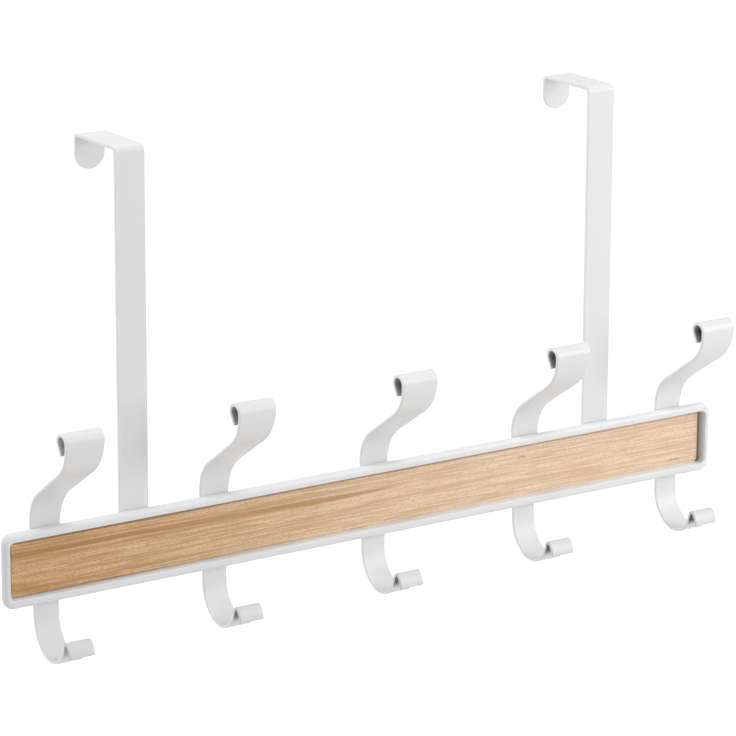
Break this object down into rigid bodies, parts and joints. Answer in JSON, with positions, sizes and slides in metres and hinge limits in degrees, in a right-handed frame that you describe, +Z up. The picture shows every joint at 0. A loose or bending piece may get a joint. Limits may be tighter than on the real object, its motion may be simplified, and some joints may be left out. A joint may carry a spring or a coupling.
{
  "type": "over door hook rack",
  "caption": "Over door hook rack: a white framed rail with a light wood panel, double hooks of flat strip with rolled tips, and flat strip brackets that hook over a door.",
  "frame": {"origin": "on the face of the door, at the height of the rail's lower edge, in the middle of the rail's length; the back face of the middle hook's strip lies there", "axes": "+X along the rail to the right as seen from the room, +Y into the door, +Z up"},
  "size_m": [0.4736, 0.0908, 0.2706],
  "materials": {
    "white_paint": "satin white powder coat",
    "light_wood": "matt light wood with fine grain along the rail"
  },
  "bodies": {
    "root": {"hook_1": "white_paint", "hook_2": "white_paint", "hook_3": "white_paint", "hook_4": "white_paint", "hook_5": "white_paint", "bracket_left": "white_paint", "bracket_right": "white_paint", "rail_frame": "white_paint", "wood_panel": "light_wood"}
  },
  "joints": []
}
